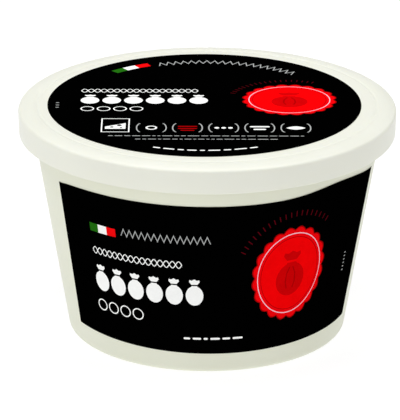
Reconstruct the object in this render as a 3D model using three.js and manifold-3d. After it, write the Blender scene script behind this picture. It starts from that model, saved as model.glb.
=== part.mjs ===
// A shut deli tub for fresh cheese: a tapered round tub, its press-on lid, and the labels on both.
// Millimetres, +Z up. The origin is the centre of the base, and the front of the tub faces -Y.

import * as THREE from 'three';
import { mergeVertices } from 'three/addons/utils/BufferGeometryUtils.js';
import Module from 'manifold-3d';

// ---- Driving dimensions, in millimetres unless they say otherwise ----

const SIDES = 120; // flats round the axis; a multiple of four keeps the outline centred on it

const WALL_RADIUS_AT_GROUND = 43.4; // the wall's straight line, carried down to the ground
const WALL_TAPER = 0.1665; // how much the wall's radius grows for each millimetre of height
const BASE_CORNER = 2.2; // rounding between the wall and the foot
const FOOT_INNER_RADIUS = 39.4;
const BASE_RECESS = 1.2; // how far the middle of the base stands off the ground
const RECESS_SLOPE = 1.0;

const FLANGE_RADIUS = 57.4; // rolled rim of the tub, inside the lid
const FLANGE_BOTTOM = 67.4;
const FLANGE_CORNER = 1.2;
const LID_CLEARANCE = 0.6; // between the top of the tub and the lid

const LID_RADIUS = 59.0;
const PANEL_HEIGHT = 72.8; // flat middle of the lid
const LID_THICKNESS = 1.0;
const GROOVE_RADIUS = 52.2; // inner edge of the shallow ring round the panel
const GROOVE_WIDTH = 1.6;
const GROOVE_DEPTH = 0.15;
const CROWN_START = 54.5; // where the lid's top starts to curve down towards the skirt
const CROWN_ROUNDING = 11; // radius of that curve
const CROWN_THICKNESS = 0.75; // along the curve, where the lid is a little thinner
const SKIRT_BOTTOM = 64.4;
const SKIRT_TAPER = 0.15; // how much smaller the skirt is at its lower edge
const SKIRT_EDGE = 0.35; // rounding of the skirt's lower edge
const BEAD_HEIGHT = 66.3; // middle of the bead inside the skirt that catches under the flange
const BEAD_RADIUS = 0.9;

const LABEL_THICKNESS = 0.25;
const LABEL_GAP = 0.15; // keeps each label clear of the face behind it

const LID_LABEL_RADIUS = 49.0;
const LID_LABEL_SHIFT = -0.9; // the disc sits a little to the left of the lid's centre

const LABEL_TURN = 6.1; // degrees from the tub's front to the middle of the front label
const LABEL_HALF_SPAN = 66.4; // degrees from the label's middle to each end
const LABEL_LEAN = 1.0; // degrees that the ends lean over, from mid-height to a corner
const LABEL_TOP_LEFT = 56.9; // heights of the two upper corners
const LABEL_TOP_RIGHT = 57.8;
// Where the top edge runs between its corners, as degrees to the right of the label's middle and height.
const LABEL_TOP_EDGE = [[-44, 58.35], [17, 58.5], [43.6, 60.05]];
const LABEL_BOTTOM = 6.95;
const LABEL_BOTTOM_BOW = 1.3; // how much higher the bottom edge is at its two ends
const CUTTER_REACH = 70; // further out than any part of the wall

const MERGE_DISTANCE = 1e-4; // points closer than this are one point

// ---- Helpers ----

const wasm = await Module();
wasm.setup();

const radians = THREE.MathUtils.degToRad;
const degrees = THREE.MathUtils.radToDeg;

// Points of a profile along an arc. Angles are in degrees, from the outward direction towards up.
function arc(radius, height, size, from, to, steps) {
  const points = [];
  for (let i = 0; i <= steps; i++) {
    const a = radians(from + ((to - from) * i) / steps);
    points.push(new THREE.Vector2(radius + size * Math.cos(a), height + size * Math.sin(a)));
  }
  return points;
}

const at = (radius, height) => new THREE.Vector2(radius, height);

// Turns a profile of radius and height about the Z axis. It runs anticlockwise, so its faces point out.
function revolve(profile) {
  return new THREE.LatheGeometry(profile, SIDES).rotateX(Math.PI / 2);
}

function toSolid(geometry) {
  const bare = geometry.clone().deleteAttribute('normal').deleteAttribute('uv');
  const merged = mergeVertices(bare, MERGE_DISTANCE);
  return new wasm.Manifold(new wasm.Mesh({
    numProp: 3,
    vertProperties: merged.getAttribute('position').array,
    triVerts: new Uint32Array(merged.index.array),
  }));
}

function toGeometry(solid) {
  const mesh = solid.getMesh();
  const geometry = new THREE.BufferGeometry();
  geometry.setAttribute('position', new THREE.BufferAttribute(mesh.vertProperties, 3));
  geometry.setIndex(new THREE.BufferAttribute(mesh.triVerts, 1));
  geometry.computeVertexNormals();
  return geometry;
}

function piece(name, geometry, finish) {
  const mesh = new THREE.Mesh(geometry, new THREE.MeshStandardMaterial(finish));
  mesh.name = name;
  return mesh;
}

const wallRadius = (height) => WALL_RADIUS_AT_GROUND + WALL_TAPER * height;

// ---- Tub: one solid body, full to the top, on a foot ring round a shallow recess ----

function tubProfile() {
  const wallLean = Math.atan(WALL_TAPER);
  const cornerCentre = wallRadius(BASE_CORNER) - BASE_CORNER / Math.cos(wallLean);
  const flangeCentre = FLANGE_RADIUS - FLANGE_CORNER;
  const top = PANEL_HEIGHT - LID_THICKNESS - LID_CLEARANCE;
  return [
    at(0, BASE_RECESS),
    at(FOOT_INNER_RADIUS - RECESS_SLOPE, BASE_RECESS),
    at(FOOT_INNER_RADIUS, 0),
    ...arc(cornerCentre, BASE_CORNER, BASE_CORNER, -90, -degrees(wallLean), 5),
    at(wallRadius(FLANGE_BOTTOM), FLANGE_BOTTOM),
    ...arc(flangeCentre, FLANGE_BOTTOM + FLANGE_CORNER, FLANGE_CORNER, -90, 0, 3),
    ...arc(flangeCentre, top - FLANGE_CORNER, FLANGE_CORNER, 0, 90, 3),
    at(0, top),
  ];
}

// ---- Lid: a cap with a flat panel, a shallow groove, a curved crown and a skirt that presses on ----

// From the groove's outer edge, down through it and up to the panel.
function grooveProfile(steps) {
  const points = [];
  for (let i = steps; i >= 0; i--) {
    const dip = GROOVE_DEPTH * Math.sin((Math.PI * i) / steps) ** 2;
    points.push(at(GROOVE_RADIUS + (GROOVE_WIDTH * i) / steps, PANEL_HEIGHT - dip));
  }
  return points;
}

// The crown is a little thinner than the rest. The corner below it turns about the skirt's inner edge.
function lidProfile() {
  const bottomRadius = LID_RADIUS - SKIRT_TAPER;
  const innerRadius = LID_RADIUS - LID_THICKNESS;
  const innerBottom = bottomRadius - LID_THICKNESS;
  const edgeHeight = SKIRT_BOTTOM + SKIRT_EDGE;
  const crownCentre = PANEL_HEIGHT - CROWN_ROUNDING;
  const cornerReach = CROWN_ROUNDING - LID_THICKNESS; // from the crown's centre to the corner's
  const crownEnd = degrees(Math.acos((innerRadius - CROWN_START) / cornerReach));
  const cornerHeight = crownCentre + cornerReach * Math.sin(radians(crownEnd));
  const innerRounding = CROWN_ROUNDING - CROWN_THICKNESS;
  const innerFirst = degrees(Math.asin(cornerReach / innerRounding));
  const innerLast = degrees(Math.acos((innerRadius - CROWN_START) / innerRounding));
  return [
    at(0, PANEL_HEIGHT - LID_THICKNESS),
    ...arc(CROWN_START, crownCentre, innerRounding, innerFirst, innerLast, 3),
    ...arc(innerRadius, BEAD_HEIGHT, BEAD_RADIUS, 90, 270, 4),
    ...arc(innerBottom + SKIRT_EDGE, edgeHeight, SKIRT_EDGE, 180, 270, 2),
    ...arc(bottomRadius - SKIRT_EDGE, edgeHeight, SKIRT_EDGE, -90, 0, 2),
    ...arc(innerRadius, cornerHeight, LID_THICKNESS, 0, crownEnd, 3),
    ...arc(CROWN_START, crownCentre, CROWN_ROUNDING, crownEnd, 90, 4).slice(1),
    ...grooveProfile(4),
    at(0, PANEL_HEIGHT),
  ];
}

// ---- Labels ----

// The disc on the lid's panel.
function lidLabel() {
  const disc = new THREE.CylinderGeometry(LID_LABEL_RADIUS, LID_LABEL_RADIUS, LABEL_THICKNESS, SIDES);
  return disc.rotateX(Math.PI / 2);
}

// The outline of a wall label, seen along the direction that its middle faces.
function wallLabelOutline() {
  const onWall = (angle, height) => at(wallRadius(height) * Math.sin(radians(angle)), height);
  const bottomLeft = onWall(-LABEL_HALF_SPAN - LABEL_LEAN, LABEL_BOTTOM + LABEL_BOTTOM_BOW);
  const bottomRight = onWall(LABEL_HALF_SPAN - LABEL_LEAN, LABEL_BOTTOM + LABEL_BOTTOM_BOW);
  const topRight = onWall(LABEL_HALF_SPAN + LABEL_LEAN, LABEL_TOP_RIGHT);
  const topLeft = onWall(LABEL_LEAN - LABEL_HALF_SPAN, LABEL_TOP_LEFT);
  const topEdge = LABEL_TOP_EDGE.map(([angle, height]) => onWall(angle, height)).reverse();
  return new THREE.Shape()
    .moveTo(bottomLeft.x, bottomLeft.y)
    .quadraticCurveTo(0, LABEL_BOTTOM - LABEL_BOTTOM_BOW, bottomRight.x, bottomRight.y)
    .lineTo(topRight.x, topRight.y)
    .splineThru([...topEdge, topLeft])
    .closePath();
}

// A thin shell round the wall, cut to the label's outline by a straight prism from the axis outwards.
function wallLabel() {
  const inner = (height) => wallRadius(height) + LABEL_GAP;
  const outer = (height) => inner(height) + LABEL_THICKNESS;
  const low = LABEL_BOTTOM / 2;
  const highest = Math.max(...LABEL_TOP_EDGE.map(([, height]) => height));
  const high = (highest + SKIRT_BOTTOM) / 2;
  const shell = revolve([
    at(inner(low), low), at(outer(low), low), at(outer(high), high), at(inner(high), high),
    at(inner(low), low),
  ]);
  const cutter = new THREE.ExtrudeGeometry(wallLabelOutline(), {
    depth: CUTTER_REACH, bevelEnabled: false, curveSegments: 10,
  });
  cutter.rotateX(Math.PI / 2).rotateZ(radians(LABEL_TURN));
  return toGeometry(toSolid(shell).intersect(toSolid(cutter)));
}

// ---- The part ----

const TUB_PLASTIC = { color: 0xe6e5d6, roughness: 0.45, metalness: 0 };
const LID_PLASTIC = { color: 0xf0f0e6, roughness: 0.42, metalness: 0 };
const LABEL_PRINT = { color: 0x080808, roughness: 0.5, metalness: 0 };

const part = new THREE.Group();

part.add(piece('tub', revolve(tubProfile()), TUB_PLASTIC));
part.add(piece('lid', revolve(lidProfile()), LID_PLASTIC));

const disc = piece('lid_label', lidLabel(), LABEL_PRINT);
disc.position.set(LID_LABEL_SHIFT, 0, PANEL_HEIGHT + LABEL_GAP + LABEL_THICKNESS / 2);
part.add(disc);

// The same label front and back, half a turn apart.
['front_label', 'back_label'].forEach((name, half) => {
  const label = piece(name, wallLabel(), LABEL_PRINT);
  label.rotation.z = Math.PI * half;
  part.add(label);
});

export default part;
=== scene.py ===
"""The looks of a shut round tub of fresh cheese: ivory plastic, a press-on lid and black printed labels."""

import math
import random

import bpy
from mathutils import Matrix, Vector
from mathutils.geometry import delaunay_2d_cdt


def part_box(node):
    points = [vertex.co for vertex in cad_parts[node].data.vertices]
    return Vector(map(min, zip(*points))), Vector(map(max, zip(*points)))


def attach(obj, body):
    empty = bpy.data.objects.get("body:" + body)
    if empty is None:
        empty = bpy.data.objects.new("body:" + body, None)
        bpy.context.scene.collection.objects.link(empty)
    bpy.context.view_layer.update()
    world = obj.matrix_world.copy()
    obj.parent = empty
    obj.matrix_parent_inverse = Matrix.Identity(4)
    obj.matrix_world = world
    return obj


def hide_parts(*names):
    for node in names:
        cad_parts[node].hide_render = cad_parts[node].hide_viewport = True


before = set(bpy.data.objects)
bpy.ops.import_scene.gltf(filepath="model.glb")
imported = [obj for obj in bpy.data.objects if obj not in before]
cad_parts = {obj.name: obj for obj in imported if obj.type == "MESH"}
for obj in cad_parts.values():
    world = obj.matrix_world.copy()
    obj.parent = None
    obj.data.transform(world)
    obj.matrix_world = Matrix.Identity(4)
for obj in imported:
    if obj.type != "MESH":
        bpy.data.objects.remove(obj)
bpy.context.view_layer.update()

# Shapes are worked out in millimetres. MM turns them into Blender's metres where a mesh is made.
MM = 0.001

# ---- Places and sizes that the frame gives ----

TUB_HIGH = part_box("tub")[1] / MM
LID_LOW, LID_HIGH = (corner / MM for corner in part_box("lid"))
DISC_LOW, DISC_HIGH = (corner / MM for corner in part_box("lid_label"))

FLANGE_RADIUS = TUB_HIGH.x
TUB_TOP = TUB_HIGH.z
LID_RADIUS = LID_HIGH.x
SKIRT_BOTTOM = LID_LOW.z
PANEL_HEIGHT = LID_HIGH.z
DISC_RADIUS = (DISC_HIGH.x - DISC_LOW.x) / 2
DISC_X = (DISC_HIGH.x + DISC_LOW.x) / 2

# ---- Sizes of the tub, the lid and the wall label's outline, the same as the frame's ----

WALL_RADIUS_AT_GROUND = 43.4
WALL_TAPER = 0.1665
BASE_CORNER = 2.2
FOOT_INNER_RADIUS = 39.4
BASE_RECESS = 1.2  # how far the middle of the base stands off the ground
RECESS_SLOPE = 1.0
FLANGE_BOTTOM = 67.4
FLANGE_CORNER = 1.2

LID_THICKNESS = 1.0
GROOVE_RADIUS = 52.2
GROOVE_WIDTH = 1.6
GROOVE_DEPTH = 0.15
CROWN_START = 54.5
CROWN_ROUNDING = 11.0
CROWN_THICKNESS = 0.75
SKIRT_TAPER = 0.15
SKIRT_EDGE = 0.35
BEAD_HEIGHT = 66.3
BEAD_RADIUS = 0.9

LABEL_TURN = math.radians(6.1)  # from the tub's front to the middle of the front label
LABEL_HALF_SPAN = math.radians(66.4)
LABEL_LEAN = math.radians(1.0)
LABEL_TOP_LEFT = 56.9
LABEL_TOP_RIGHT = 57.8
LABEL_TOP_EDGE = [(-44, 58.35), (17, 58.5), (43.6, 60.05)]  # degrees from the label's middle, and height
LABEL_BOTTOM = 6.95
LABEL_BOTTOM_BOW = 1.3

# ---- Finer sizes, which the frame doesn't have ----

RECESS_ROUNDING = 0.5
FOOT_ROUNDING = 0.4  # at the foot ring's inner edge
NECK_ROUNDING = 0.4  # where the wall meets the flange
BEAD_ROUNDING = 0.5
BEAD_EDGE_ROUNDING = 0.2  # where the bead meets the skirt

FILM_THICKNESS = 0.14
FILM_SINK = 0.03  # how far the film's back reaches into what it is stuck to

SIDES = 288  # flats round the tub and lid
CORNER_STEPS = 8
GROOVE_STEPS = 14
HOLD = 0.12  # distance of the extra ring beside a rounded corner, which keeps the flats' shading flat
FILM_STEP = math.radians(1.5)  # the widest strip of a wall label's film
FILM_SHARP = math.radians(40)  # a film's edges are shaded sharp from this angle
EDGE_STEPS = 32  # along each stretch of a wall label's outline
SHARES = [i / EDGE_STEPS for i in range(EDGE_STEPS)]
ART_HEIGHT = 33  # the height at which a wall label's x is its true length


def wall_radius(height):
    return WALL_RADIUS_AT_GROUND + WALL_TAPER * height


WALL_ART_RADIUS = wall_radius(ART_HEIGHT)


# ---- Camera ----

AIM_HEIGHT = 36 * MM  # of a point on the tub's axis, from which the next two are measured
CAMERA_DISTANCE = 1300 * MM
CAMERA_ELEVATION = math.radians(20.63)
CAMERA_SIDE = -2.2 * MM  # from the tub's axis to the right, so less than zero is to the left
CAMERA_PITCH = math.radians(20.57)  # how far the camera looks down
CAMERA_ROLL = math.radians(0.13)
FOCAL_LENGTH = 353.3  # millimetres, on a sensor 36 mm high


def make_camera():
    camera = bpy.data.objects.new("camera", bpy.data.cameras.new("camera"))
    bpy.context.scene.collection.objects.link(camera)
    camera.data.lens = FOCAL_LENGTH
    camera.location = (
        CAMERA_SIDE,
        -CAMERA_DISTANCE * math.cos(CAMERA_ELEVATION),
        AIM_HEIGHT + CAMERA_DISTANCE * math.sin(CAMERA_ELEVATION),
    )
    camera.rotation_euler = (math.pi / 2 - CAMERA_PITCH, 0, 0)
    camera.rotation_euler.rotate_axis("Z", CAMERA_ROLL)
    bpy.context.scene.camera = camera


# ---- Materials ----

NOISE_LOW, NOISE_HIGH = 0.3, 0.7  # nearly all of a noise pattern's values lie between these
INK_ROUGHNESS = (0.48, 0.6)  # the least and the most


def linear(red, green, blue):
    """A colour of 0 to 255 on screen as the shader's linear numbers, by the sRGB curve."""

    def channel(level):
        share = level / 255
        return share / 12.92 if share <= 0.04045 else ((share + 0.055) / 1.055) ** 2.4

    return channel(red), channel(green), channel(blue), 1.0


def new_material(name):
    """A material, its node tree and its shader."""
    material = bpy.data.materials.new(name)
    material.use_nodes = True
    tree = material.node_tree
    return material, tree, tree.nodes["Principled BSDF"]


def noise(tree, size, detail=3.0):
    """A noise pattern over the object, from 0 to 1, with blots of about this size in millimetres."""
    coordinates = tree.nodes.new("ShaderNodeTexCoord")
    texture = tree.nodes.new("ShaderNodeTexNoise")
    texture.inputs["Scale"].default_value = 1 / (size * MM)
    texture.inputs["Detail"].default_value = detail
    tree.links.new(coordinates.outputs["Object"], texture.inputs["Vector"])
    return texture.outputs[0]


def spread(tree, value, low, high):
    """Maps a noise pattern onto the range from low to high."""
    node = tree.nodes.new("ShaderNodeMapRange")
    node.inputs["From Min"].default_value = NOISE_LOW
    node.inputs["From Max"].default_value = NOISE_HIGH
    node.inputs["To Min"].default_value = low
    node.inputs["To Max"].default_value = high
    tree.links.new(value, node.inputs["Value"])
    return node.outputs["Result"]


def tint(tree, value, first, second):
    """Mixes two colours by a noise pattern."""
    ramp = tree.nodes.new("ShaderNodeValToRGB")
    ramp.color_ramp.elements[0].position = NOISE_LOW
    ramp.color_ramp.elements[1].position = NOISE_HIGH
    ramp.color_ramp.elements[0].color = first
    ramp.color_ramp.elements[1].color = second
    tree.links.new(value, ramp.inputs["Fac"])
    return ramp.outputs["Color"]


def bump(tree, value, depth, below=None):
    """A bump of this depth in millimetres, on top of another bump if one is given."""
    node = tree.nodes.new("ShaderNodeBump")
    node.inputs["Strength"].default_value = 1.0
    node.inputs["Distance"].default_value = depth * MM
    tree.links.new(value, node.inputs["Height"])
    if below:
        tree.links.new(below, node.inputs["Normal"])
    return node.outputs["Normal"]


def moulded_plastic(name, pale, deep, roughness):
    """Slightly cloudy polypropylene with a mould's fine grain. roughness is the least and the most."""
    material, tree, shader = new_material(name)
    tree.links.new(tint(tree, noise(tree, size=26), pale, deep), shader.inputs["Base Color"])
    tree.links.new(spread(tree, noise(tree, size=9), *roughness), shader.inputs["Roughness"])
    waves = bump(tree, noise(tree, size=14, detail=1.0), depth=0.03)
    grain = bump(tree, noise(tree, size=0.5), depth=0.004, below=waves)
    tree.links.new(grain, shader.inputs["Normal"])
    shader.inputs["IOR"].default_value = 1.49
    shader.inputs["Subsurface Weight"].default_value = 0.12
    shader.inputs["Subsurface Radius"].default_value = (1.0, 0.9, 0.65)
    shader.inputs["Subsurface Scale"].default_value = 1.5 * MM
    return material


def ink(name, colour, mottle=0.9):
    """Flat print without a shine. mottle is how bright its duller patches are, as a share of the rest."""
    material, tree, shader = new_material(name)
    dull = tuple(level * mottle for level in colour[:3]) + (1.0,)
    tree.links.new(tint(tree, noise(tree, size=3.5), colour, dull), shader.inputs["Base Color"])
    tree.links.new(spread(tree, noise(tree, size=6), *INK_ROUGHNESS), shader.inputs["Roughness"])
    tree.links.new(bump(tree, noise(tree, size=1.2), depth=0.003), shader.inputs["Normal"])
    shader.inputs["Specular IOR Level"].default_value = 0.0
    return material


def make_inks():
    """The print's colours, by name. Black is the film's own colour, and core is its cut edge and back."""
    return {
        "black": ink("print_black", linear(1, 1, 1)),
        "core": ink("film_core", linear(232, 232, 226)),
        "white": ink("print_white", linear(254, 255, 253), mottle=0.97),
        "grey": ink("print_grey", linear(178, 180, 179)),
        "green": ink("print_green", linear(34, 109, 18)),
        "flag_red": ink("print_flag_red", linear(248, 12, 16)),
        "red": ink("print_red", linear(250, 6, 14)),
        "disc_red": ink("print_disc_red", linear(255, 4, 8)),
        "dusky_red": ink("print_dusky_red", linear(212, 3, 7)),
        "deep_red": ink("print_deep_red", linear(178, 2, 5)),
        "pink": ink("print_pink", linear(254, 214, 230)),
        "faint_red": ink("print_faint_red", linear(92, 6, 20)),
    }


# ---- Meshes ----


def mesh_object(name, vertices, faces, materials, slots=None):
    """A smooth-shaded object from vertices in millimetres."""
    mesh = bpy.data.meshes.new(name)
    mesh.from_pydata([Vector(v) * MM for v in vertices], [], faces)
    for material in materials:
        mesh.materials.append(material)
    if slots:
        mesh.polygons.foreach_set("material_index", slots)
    mesh.polygons.foreach_set("use_smooth", [True] * len(faces))
    mesh.update()
    made = bpy.data.objects.new(name, mesh)
    bpy.context.scene.collection.objects.link(made)
    return made


def rounded(before, corner, after, rounding):
    """A profile's corner as an arc, with a holding point on the straight at each end."""
    corner = Vector(corner)
    back, ahead = Vector(before) - corner, Vector(after) - corner
    room = min(back.length, ahead.length)
    back.normalize()
    ahead.normalize()
    half = back.angle(ahead) / 2
    reach = rounding / math.tan(half)
    centre = corner + (back + ahead).normalized() * rounding / math.sin(half)
    start = corner + back * reach - centre
    end = corner + ahead * reach - centre
    first = math.atan2(start.y, start.x)
    sweep = math.remainder(math.atan2(end.y, end.x) - first, 2 * math.pi)
    angles = [first + sweep * i / CORNER_STEPS for i in range(CORNER_STEPS + 1)]
    arc = [centre + rounding * Vector((math.cos(a), math.sin(a))) for a in angles]
    if reach + 2 * HOLD > room / 2:
        return arc
    return [corner + back * (reach + HOLD), *arc, corner + ahead * (reach + HOLD)]


def profile(corners):
    """Points of a profile from its corners, each a radius, a height and a rounding."""
    points = []
    for i, (radius, height, rounding) in enumerate(corners):
        if rounding:
            points += rounded(corners[i - 1][:2], (radius, height), corners[i + 1][:2], rounding)
        else:
            points.append(Vector((radius, height)))
    return points


def turned(name, points, material):
    """A closed body turned about Z. The profile starts and ends on the axis and runs anticlockwise."""
    turns = [2 * math.pi * i / SIDES for i in range(SIDES)]
    vertices, rings = [], []
    for radius, height in points:
        around = turns if radius else turns[:1]
        rings.append(range(len(vertices), len(vertices) + len(around)))
        vertices += [(radius * math.sin(t), -radius * math.cos(t), height) for t in around]
    faces = []
    for ring, following in zip(rings, rings[1:]):
        for i in range(SIDES):
            j = (i + 1) % SIDES
            corners = [ring[i % len(ring)], ring[j % len(ring)]]
            corners += [following[j % len(following)], following[i % len(following)]]
            faces.append(list(dict.fromkeys(corners)))
    return mesh_object(name, vertices, faces, [material])


WHOLE_SHEET = 0  # makes delaunay_2d_cdt keep every triangle, whether or not it lies inside an outline
MERGE_DISTANCE = 1e-5  # points of the art that are closer than this are one point


def anticlockwise(outline):
    area = sum(a[0] * b[1] - b[0] * a[1] for a, b in zip(outline, outline[1:] + outline[:1]))
    return outline if area > 0 else outline[::-1]


def anticlockwise_face(face, flat):
    a, b, c = (flat[i] for i in face)
    return face if (b - a).cross(c - a) > 0 else face[::-1]


def printed_film(name, art, place, inks, guides=()):
    """A thin closed film whose print is flush with it.

    art is a list of (outline, ink), painted in order, and the first outline is the film's own.
    place(x, y, lift) puts a point of the art on the object.
    Each guide is a line along which the film may bend.
    """
    points, loops, edges = [], [], []
    for outline, _ in art:
        loops.append(range(len(points), len(points) + len(outline)))
        points += anticlockwise(outline)
    for guide in guides:
        edges.append((len(points), len(points) + 1))
        points += guide
    points = [Vector(point) for point in points]
    cut = delaunay_2d_cdt(points, edges, loops, WHOLE_SHEET, MERGE_DISTANCE, True)
    flat, _, triangles, _, _, sources = cut

    # Each triangle takes the ink of the last outline painted over it, and drops out if there is none.
    names = list(inks)
    fronts = [(tuple(t), names.index(art[max(s)][1])) for t, s in zip(triangles, sources) if s]
    used = sorted({corner for face, _ in fronts for corner in face})
    number = {corner: i for i, corner in enumerate(used)}
    count = len(used)
    vertices = [place(flat[i].x, flat[i].y, FILM_THICKNESS) for i in used]
    vertices += [place(flat[i].x, flat[i].y, -FILM_SINK) for i in used]

    faces = [[number[i] for i in anticlockwise_face(face, flat)] for face, _ in fronts]
    slots = [slot for _, slot in fronts]
    sides = {(a, b) for face in faces for a, b in zip(face, face[1:] + face[:1])}
    rim = [(a, b) for a, b in sorted(sides) if (b, a) not in sides]
    backs = [[i + count for i in reversed(face)] for face in faces]
    rims = [[b, a, a + count, b + count] for a, b in rim]
    slots += [names.index("core")] * (len(backs) + len(rims))
    film = mesh_object(name, vertices, faces + backs + rims, list(inks.values()), slots)
    film.data.set_sharp_from_angle(angle=FILM_SHARP)
    return film


# ---- Shapes for the print: each gives a list of (outline, ink), in millimetres ----

CAP_STEPS = 6  # round each end of a capsule
WAVE_STEPS = 12  # along each wave of a braid
LOBE_STEPS = 10  # along each lobe of a scalloped edge


def ellipse(x, y, width, height, colour, points=40):
    turns = [2 * math.pi * i / points for i in range(points)]
    return [([(x + width / 2 * math.cos(t), y + height / 2 * math.sin(t)) for t in turns], colour)]


def ring(x, y, size, weight, colour):
    """A ring drawn as a black disc over another disc."""
    inner = size - 2 * weight
    return ellipse(x, y, size, size, colour) + ellipse(x, y, inner, inner, "black")


def bar(left, bottom, width, height, colour):
    """A rectangle with middle points, so that it can be bent."""
    middle, right, top = left + width / 2, left + width, bottom + height
    corners = [(left, bottom), (middle, bottom), (right, bottom), (right, top), (middle, top), (left, top)]
    return [(corners, colour)]


def capsule(left, middle, width, height, colour):
    """A level bar with round ends, centred on the height named middle."""
    radius = height / 2
    points = []
    for x, first in ((left + width - radius, -90), (left + radius, 90)):
        for i in range(CAP_STEPS + 1):
            angle = math.radians(first + 180 * i / CAP_STEPS)
            points.append((x + radius * math.cos(angle), middle + radius * math.sin(angle)))
    return [(points, colour)]


def stroke(path, weight, colour):
    """A line of even weight along a path, with mitred corners."""
    path = [Vector(p) for p in path]
    steps = [(b - a).normalized() for a, b in zip(path, path[1:])]
    left, right = [], []
    for here, before, after in zip(path, steps[:1] + steps, steps + steps[-1:]):
        across = (before + after).normalized().orthogonal()
        reach = weight / 2 / across.dot(before.orthogonal())
        left.append(tuple(here + across * reach))
        right.append(tuple(here - across * reach))
    return [(left + right[::-1], colour)]


def flag(left, bottom, width, height):
    """Three upright stripes of green, white and red."""
    third = width / 3
    art = []
    for i, colour in enumerate(("green", "white", "flag_red")):
        art += bar(left + i * third, bottom, third, height, colour)
    return art


def zigzag(left, right, bottom, top, teeth, colour, weight=0.26):
    step = (right - left) / (2 * teeth)
    path = [(left + i * step, top if i % 2 else bottom) for i in range(2 * teeth + 1)]
    return stroke(path, weight, colour)


def braid(left, right, bottom, top, waves, colour, weight=0.28):
    """Two waves that cross each other again and again."""
    art = []
    middle, swing = (bottom + top) / 2, (top - bottom) / 2
    steps = WAVE_STEPS * waves
    for side in (1, -1):
        path = []
        for i in range(steps + 1):
            height = side * swing * math.sin(2 * math.pi * waves * i / steps)
            path.append((left + (right - left) * i / steps, middle + height))
        art += stroke(path, weight, colour)
    return art


def pouch(x, bottom, width, height, colour, tie="black"):
    """A round bag of cheese, drawn in at the neck by a tie, with a gathered top above it."""
    body = 0.74 * height  # the round part's height
    neck = 20  # degrees left open at each side of the body's top
    steps = 30
    points = []
    for i in range(steps + 1):
        angle = math.radians(90 + neck + (360 - 2 * neck) * i / steps)
        points.append((x + width / 2 * math.cos(angle), bottom + body / 2 + body / 2 * math.sin(angle)))
    # One side of the gathered top, as shares of the width across and of the height up. The tie covers its
    # lower end.
    half_tuft = [(0.15, 0.78), (0.3, 0.9), (0.27, 0.97), (0.14, 0.95)]
    tuft = half_tuft + [(0, 1)] + [(-across, share) for across, share in reversed(half_tuft)]
    points += [(x + across * width, bottom + share * height) for across, share in tuft]
    band = bar(x - 0.3 * width, bottom + 0.745 * height, 0.6 * width, 0.05 * height, tie)
    return [(points, colour)] + band


def pouch_row(left, right, bottom, top, count, colour):
    """Pouches side by side that fill the space between left and right."""
    pitch = (right - left) / count
    width = 0.86 * pitch  # leaves a gap between neighbours
    art = []
    for i in range(count):
        art += pouch(left + (i + 0.5) * pitch, bottom, width, top - bottom, colour)
    return art


def ring_row(left, right, middle, size, count, weight, colour):
    pitch = (right - left - size) / (count - 1)
    art = []
    for i in range(count):
        art += ring(left + size / 2 + i * pitch, middle, size, weight, colour)
    return art


def dash_row(left, middle, height, lengths, gap, colour):
    """Level dashes of the lengths given, one after another."""
    art = []
    for length in lengths:
        art += capsule(left, middle, length, height, colour)
        left += length + gap
    return art


def fine_row(left, right, middle, height, colour, seed):
    """A row of small dashes of uneven length."""
    shortest, longest, gap = 0.9, 3.6, 0.5
    draw = random.Random(seed)
    lengths = []
    while sum(lengths) + gap * len(lengths) < right - left:
        lengths.append(draw.uniform(shortest, longest))
    stretch = (right - left - gap * (len(lengths) - 1)) / sum(lengths)
    return dash_row(left, middle, height, [stretch * length for length in lengths], gap, colour)


def scalloped(x, y, width, height, lobes, depth, colour):
    """An oval with an edge of round lobes. depth is that of the notches, as a share of the oval."""
    steps = LOBE_STEPS * lobes
    points = []
    for i in range(steps):
        angle = 2 * math.pi * i / steps
        reach = 1 - depth * (1 - abs(math.sin(lobes * angle / 2)))
        points.append((x + width / 2 * reach * math.cos(angle), y + height / 2 * reach * math.sin(angle)))
    return [(points, colour)]


def medallion(x, y, width, height):
    """A red oval with a scalloped edge, round a thin pale line, a thin dark line and a pouch."""
    lobes, depth = 20, 0.07
    art = scalloped(x, y, width, height, lobes, depth, "deep_red")
    art += scalloped(x, y, 0.97 * width, 0.975 * height, lobes, depth, "red")
    for share, colour in ((0.86, "pink"), (0.842, "red"), (0.78, "deep_red"), (0.765, "disc_red")):
        art += ellipse(x, y, share * width, share * height, colour, points=72)
    art += pouch(x, y - 0.24 * height, 0.38 * width, 0.48 * height, "dusky_red", tie="disc_red")
    crease = [(0.02, 0.07), (0.055, 0.0), (0.062, -0.09), (0.04, -0.16)]  # shares across and up
    for side in (-1, 1):
        path = [(x + side * across * width, y + up * height) for across, up in crease]
        art += stroke(path, 0.016 * width, "deep_red")
    return art


def ray_arc(x, y, width, height, first, last, count):
    """Short faint strokes that stand out from an ellipse like rays, between two angles in degrees."""
    tip = 1.09  # where a stroke ends, as a share of the ellipse
    art = []
    for i in range(count):
        angle = math.radians(first + (last - first) * i / (count - 1))
        path = []
        for reach in (1, tip):
            path.append((x + width / 2 * reach * math.cos(angle), y + height / 2 * reach * math.sin(angle)))
        art += stroke(path, weight=0.28, colour="faint_red")
    return art


def bent(art, radius, middle, upright=1):
    """Bends level art onto an arc round the origin, with its x = 0 at the middle angle, in degrees.

    upright is 1 where the art's top faces outwards, and -1 where it faces the centre.
    """
    made = []
    for outline, colour in art:
        points = []
        for x, y in outline:
            angle = math.radians(middle) - upright * x / radius
            reach = radius + upright * y
            points.append((reach * math.cos(angle), reach * math.sin(angle)))
        made.append((points, colour))
    return made


# ---- The wall labels ----


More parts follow.
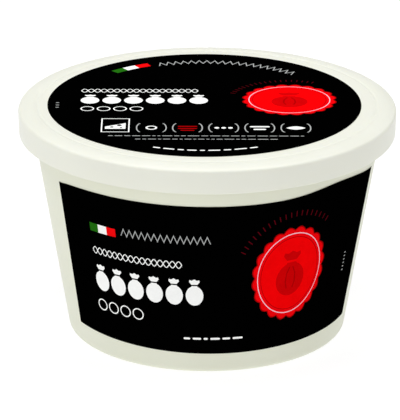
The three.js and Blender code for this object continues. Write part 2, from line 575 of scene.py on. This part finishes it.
def spline(points):
    """A smooth curve through points, as far as the last one, which is left out."""
    padded = points[:1] + points + points[-1:]
    path = []
    for before, start, end, after in zip(padded, padded[1:], padded[2:], padded[3:]):
        leave, arrive = (end - before) / 2, (after - start) / 2
        cubic = 2 * (start - end) + leave + arrive
        square = 3 * (end - start) - 2 * leave - arrive
        path += [cubic * t**3 + square * t**2 + leave * t + start for t in SHARES]
    return path


def wall_outline():
    """The wall label's outline: a panel seen from its front, with leaning ends and bowed edges."""

    def on_wall(angle, height):
        return Vector((wall_radius(height) * math.sin(angle), height))

    ends = LABEL_BOTTOM + LABEL_BOTTOM_BOW
    low_left = on_wall(-LABEL_HALF_SPAN - LABEL_LEAN, ends)
    low_right = on_wall(LABEL_HALF_SPAN - LABEL_LEAN, ends)
    high_right = on_wall(LABEL_HALF_SPAN + LABEL_LEAN, LABEL_TOP_RIGHT)
    high_left = on_wall(LABEL_LEAN - LABEL_HALF_SPAN, LABEL_TOP_LEFT)
    top = [on_wall(math.radians(degrees), height) for degrees, height in reversed(LABEL_TOP_EDGE)]
    dip = Vector((0, LABEL_BOTTOM - LABEL_BOTTOM_BOW))
    path = [low_left.lerp(dip, t).lerp(dip.lerp(low_right, t), t) for t in SHARES]
    path += [low_right.lerp(high_right, t) for t in SHARES]
    path += spline([high_right, *top, high_left])
    path += [high_left.lerp(low_left, t) for t in SHARES]
    return [(WALL_ART_RADIUS * math.asin(p.x / wall_radius(p.y)), p.y) for p in path]


def wall_art():
    """The print of a wall label: x runs along the wall from the label's middle, and y is the height."""
    art = [(wall_outline(), "black")]
    art += flag(left=-43.2, bottom=44.5, width=9.7, height=2.8)
    art += zigzag(left=-31.6, right=-4.2, bottom=45.5, top=47.9, teeth=14, colour="grey")
    art += braid(left=-43.2, right=-12.8, bottom=36.8, top=39.1, waves=8, colour="white")
    art += pouch_row(left=-44.2, right=-5.9, bottom=24.0, top=33.2, count=6, colour="white")
    art += ring_row(left=-44.3, right=-26.2, middle=18.9, size=4.0, count=4, weight=0.38, colour="white")
    dashes = (2.2, 2.8, 1.4, 3.2, 2.6, 3.4)
    art += dash_row(left=-12.9, middle=12.3, height=0.7, lengths=dashes, gap=0.8, colour="white")
    art += medallion(x=21.7, y=32.6, width=26.4, height=32.2)
    art += ray_arc(x=21.9, y=32.0, width=35.4, height=40.4, first=152, last=52, count=19)
    for i in range(6):
        art += capsule(left=46.4, middle=26.6 + 1.2 * i, width=0.9, height=0.4, colour="grey")
    return art


def wall_film(name, turn, art, inks):
    def place(x, y, lift):
        angle, radius = turn + x / WALL_ART_RADIUS, wall_radius(y) + lift
        return radius * math.sin(angle), -radius * math.cos(angle), y

    width = WALL_ART_RADIUS * FILM_STEP
    count = math.ceil((LABEL_HALF_SPAN + LABEL_LEAN) / FILM_STEP)
    guides = [[(i * width, 0), (i * width, SKIRT_BOTTOM)] for i in range(-count, count + 1)]
    return printed_film(name, art, place, inks, guides)


# ---- The lid's label ----

SIGN_ROW = -22.7  # the middle of the row of small signs
SIGN_HEIGHT = 8.2
SIGN_WIDTH = 9.1
SIGN_PITCH = 11.1
FIRST_SIGN = -16.3
DOT_POINTS = 16  # round a small dot


def brackets(x, y, width, height, colour):
    """A pair of round brackets."""
    bulge = 0.16 * width
    reach, steps = 75, 12  # degrees from a bracket's middle to each end
    angles = [math.radians(-reach + 2 * reach * i / steps) for i in range(steps + 1)]
    art = []
    for side in (-1, 1):
        offsets = [side * (width / 2 - bulge + bulge * math.cos(a)) for a in angles]
        path = [(x + offset, y + height / 2 * math.sin(a)) for offset, a in zip(offsets, angles)]
        art += stroke(path, weight=0.38, colour=colour)
    return art


def framed_wedge(x, y, width, height):
    """A cut of cheese in a thin frame."""
    frame_line = 0.4
    left, bottom = x - width / 2, y - height / 2
    art = bar(left, bottom, width, height, "white")
    left, bottom = left + frame_line, bottom + frame_line
    art += bar(left, bottom, width - 2 * frame_line, height - 2 * frame_line, "black")
    side, low = 0.36 * width, y - 0.26 * height
    thick_end, thin_end = low + 0.42 * height, low + 0.16 * height
    art.append(([(x - side, low), (x + side, low), (x + side, thick_end), (x - side, thin_end)], "white"))
    holes = ((-0.12, -0.13, 0.13), (0.14, 0.0, 0.17), (0.2, -0.18, 0.1))  # shares across, up and in size
    for across, up, size in holes:
        hole = size * width
        art += ellipse(x + across * width, y + up * height, hole, hole, "black", DOT_POINTS)
    return art


def leaf(x, y, width, height, colour):
    """A pointed leaf that lies level."""
    steps = 12
    points = []
    for side in (1, -1):
        for i in range(steps):
            along = side * (1 - 2 * i / steps)
            points.append((x + along * width / 2, y + side * height / 2 * (1 - along * along)))
    return [(points, colour)]


def sign_row():
    """Five bracketed signs: a ring, red bars, dots, white bars and a leaf."""
    centres = [FIRST_SIGN + i * SIGN_PITCH for i in range(5)]
    art = []
    for x in centres:
        art += brackets(x, SIGN_ROW, SIGN_WIDTH, SIGN_HEIGHT, "grey")
    ring_x, red_x, dots_x, white_x, leaf_x = centres
    art += ring(ring_x, SIGN_ROW, size=3.6, weight=0.6, colour="white")
    for up, width in ((1.3, 6.0), (-0.6, 6.0), (-2.3, 4.4)):
        art += capsule(red_x - width / 2, SIGN_ROW + up, width, height=0.7, colour="deep_red")
    for across in (-2.1, 0, 2.1):
        art += ellipse(dots_x + across, SIGN_ROW, 1.5, 1.5, "white", DOT_POINTS)
    for up, width in ((1.1, 6.2), (-1.3, 4.0)):
        art += capsule(white_x - width / 2, SIGN_ROW + up, width, height=1.1, colour="white")
    art += leaf(leaf_x, SIGN_ROW, width=6.0, height=3.0, colour="white")
    return art


def disc_art():
    """The print of the lid's label, from the label's centre, with its upper edge away from the front."""
    art = ellipse(0, 0, 2 * DISC_RADIUS, 2 * DISC_RADIUS, "black", points=240)
    art += bent(flag(left=-6.6, bottom=-1.5, width=13.2, height=3.0), radius=42.0, middle=124)
    line = zigzag(left=-23.4, right=23.4, bottom=-1.4, top=1.4, teeth=19, colour="grey", weight=0.34)
    art += bent(line, radius=40.9, middle=78.5)
    art += braid(left=-38.7, right=-2.0, bottom=10.6, top=13.8, waves=9, colour="white", weight=0.3)
    art += pouch_row(left=-39.2, right=1.6, bottom=-0.2, top=8.4, count=6, colour="white")
    art += ring_row(left=-38.6, right=-19.0, middle=-5.0, size=4.3, count=4, weight=0.4, colour="white")
    art += medallion(x=26.6, y=3.9, width=29.8, height=29.4)
    art += ray_arc(x=26.6, y=3.9, width=36.0, height=35.0, first=160, last=66, count=19)
    art += framed_wedge(x=-27.4, y=-20.5, width=8.8, height=12.6)
    art += sign_row()
    art += fine_row(left=-29.5, right=30.5, middle=-30.1, height=0.45, colour="grey", seed=3)
    art += fine_row(left=-21.2, right=22.4, middle=-33.1, height=0.45, colour="grey", seed=7)
    dashes = (2.4, 3.6, 2.0, 3.0, 1.6, 3.8, 2.4, 4.0, 2.6)
    row = dash_row(left=-16.3, middle=0, height=0.8, lengths=dashes, gap=0.9, colour="white")
    art += bent(row, radius=43.2, middle=-89.6, upright=-1)
    for i in range(3):
        art += capsule(left=-46.4, middle=-3.8 + 2.2 * i, width=1.1, height=0.45, colour="grey")
    return art


def disc_film(inks):
    def place(x, y, lift):
        return DISC_X + x, y, PANEL_HEIGHT + lift

    return printed_film("lid_print", disc_art(), place, inks)


# ---- Tub and lid ----


def tub_points():
    """The tub's profile: foot ring round a shallow recess, tapered wall, and the flange under the lid."""
    return profile([
        (0, BASE_RECESS, 0),
        (FOOT_INNER_RADIUS - RECESS_SLOPE, BASE_RECESS, RECESS_ROUNDING),
        (FOOT_INNER_RADIUS, 0, FOOT_ROUNDING),
        (WALL_RADIUS_AT_GROUND, 0, BASE_CORNER),
        (wall_radius(FLANGE_BOTTOM), FLANGE_BOTTOM, NECK_ROUNDING),
        (FLANGE_RADIUS, FLANGE_BOTTOM, FLANGE_CORNER),
        (FLANGE_RADIUS, TUB_TOP, FLANGE_CORNER),
        (0, TUB_TOP, 0),
    ])


def arc_points(radius, height, size, first, last):
    """Points of a profile along an arc. Angles are in degrees, from outward towards up."""
    angles = [math.radians(first + (last - first) * i / CORNER_STEPS) for i in range(CORNER_STEPS + 1)]
    return [Vector((radius + size * math.cos(a), height + size * math.sin(a))) for a in angles]


def groove_points():
    """The shallow ring round the lid's panel, from its outer edge inwards."""
    points = []
    for i in range(GROOVE_STEPS, -1, -1):
        dip = GROOVE_DEPTH * math.sin(math.pi * i / GROOVE_STEPS) ** 2
        points.append(Vector((GROOVE_RADIUS + GROOVE_WIDTH * i / GROOVE_STEPS, PANEL_HEIGHT - dip)))
    return points


def lid_points():
    """The lid's profile: underside, bead, skirt, corner, crown, groove and flat panel on top."""
    inside = LID_RADIUS - LID_THICKNESS
    lip = LID_RADIUS - SKIRT_TAPER
    crown_centre = PANEL_HEIGHT - CROWN_ROUNDING
    corner_reach = CROWN_ROUNDING - LID_THICKNESS  # from the crown's centre to the corner's
    crown_end = math.degrees(math.acos((inside - CROWN_START) / corner_reach))
    corner_height = crown_centre + corner_reach * math.sin(math.radians(crown_end))
    inner_rounding = CROWN_ROUNDING - CROWN_THICKNESS
    inner_first = math.degrees(math.asin(corner_reach / inner_rounding))
    inner_last = math.degrees(math.acos((inside - CROWN_START) / inner_rounding))
    underside = arc_points(CROWN_START, crown_centre, inner_rounding, inner_first, inner_last)
    skirt = profile([
        (*underside[-1], 0),
        (inside, BEAD_HEIGHT + BEAD_RADIUS, BEAD_EDGE_ROUNDING),
        (inside - BEAD_RADIUS, BEAD_HEIGHT, BEAD_ROUNDING),
        (inside - SKIRT_TAPER / 2, BEAD_HEIGHT - BEAD_RADIUS, BEAD_EDGE_ROUNDING),
        (lip - LID_THICKNESS, SKIRT_BOTTOM, SKIRT_EDGE),
        (lip, SKIRT_BOTTOM, SKIRT_EDGE),
        (LID_RADIUS, corner_height - HOLD, 0),
    ])
    return [
        Vector((0, PANEL_HEIGHT - LID_THICKNESS)),
        *underside[:-1],
        *skirt,
        *arc_points(inside, corner_height, LID_THICKNESS, 0, crown_end),
        *arc_points(CROWN_START, crown_centre, CROWN_ROUNDING, crown_end, 90)[1:],
        *groove_points(),
        Vector((GROOVE_RADIUS - HOLD, PANEL_HEIGHT)),
        Vector((0, PANEL_HEIGHT)),
    ]


def make_pack():
    tub_tones = {"pale": linear(231, 233, 215), "deep": linear(228, 230, 211)}
    # The lid is paler than the tub. Its blue is also raised above what its skirt needs, as painted
    # highlight for the whiter sheen along its top.
    lid_tones_and_sheen = {"pale": linear(237, 238, 226), "deep": linear(234, 235, 223)}
    tub_plastic = moulded_plastic("tub_plastic", **tub_tones, roughness=(0.42, 0.5))
    lid_plastic = moulded_plastic("lid_plastic", **lid_tones_and_sheen, roughness=(0.36, 0.44))
    inks = make_inks()
    art = wall_art()
    made = [
        (turned("tub_shell", tub_points(), tub_plastic), "tub", "tub_plastic"),
        (turned("press_lid", lid_points(), lid_plastic), "lid", "lid_plastic"),
        (disc_film(inks), "lid_label", "label_print"),
        (wall_film("front_print", LABEL_TURN, art, inks), "front_label", "label_print"),
        (wall_film("back_print", LABEL_TURN + math.pi, art, inks), "back_label", "label_print"),
    ]
    for piece, node, slot in made:
        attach(piece, "root")
        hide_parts(node)


# ---- Studio ----

FLOOR_HALF = 6.0  # metres
FLOOR_DROP = 0.05 * MM  # keeps the floor clear of the foot's flat underside
FLOOR_GREY = 0.3
FLOOR_GLOW = 0.79
SKY_STRENGTH = 0.28
LIGHT_TARGET = Vector((0, 0, 0.04))  # in metres, near the middle of the pack


def make_floor():
    """A plain white floor that gives off light, as a light table does, so it stays white round the foot."""
    signs = ((-1, -1), (1, -1), (1, 1), (-1, 1))
    corners = [(x * FLOOR_HALF, y * FLOOR_HALF, -FLOOR_DROP) for x, y in signs]
    mesh = bpy.data.meshes.new("floor")
    mesh.from_pydata(corners, [], [(0, 1, 2, 3)])
    floor = bpy.data.objects.new("floor", mesh)
    bpy.context.scene.collection.objects.link(floor)
    material, _, shader = new_material("floor_white")
    shader.inputs["Base Color"].default_value = (FLOOR_GREY, FLOOR_GREY, FLOOR_GREY, 1)
    shader.inputs["Roughness"].default_value = 0.9
    shader.inputs["Specular IOR Level"].default_value = 0.0
    shader.inputs["Emission Color"].default_value = (1, 1, 1, 1)
    shader.inputs["Emission Strength"].default_value = FLOOR_GLOW
    mesh.materials.append(material)


def softbox(name, location, width, depth, power):
    """A rectangular area light turned towards the pack, in metres and watts."""
    lamp = bpy.data.lights.new(name, "AREA")
    lamp.shape = "RECTANGLE"
    lamp.size = width
    lamp.size_y = depth
    lamp.energy = power
    made = bpy.data.objects.new(name, lamp)
    made.location = location
    made.rotation_euler = (LIGHT_TARGET - made.location).to_track_quat("-Z", "Y").to_euler()
    bpy.context.scene.collection.objects.link(made)


def make_studio():
    scene = bpy.context.scene
    scene.view_settings.view_transform = "Standard"
    world = bpy.data.worlds.new("studio")
    world.use_nodes = True
    sky = world.node_tree.nodes["Background"]
    sky.inputs["Color"].default_value = (1, 1, 1, 1)
    sky.inputs["Strength"].default_value = SKY_STRENGTH
    scene.world = world
    make_floor()
    softbox("overhead", location=(0.0, 0.0, 1.25), width=2.2, depth=1.0, power=18.6)
    softbox("key", location=(-0.7, -1.21, 0.7), width=0.8, depth=0.8, power=4.2)


make_camera()
make_pack()
make_studio()
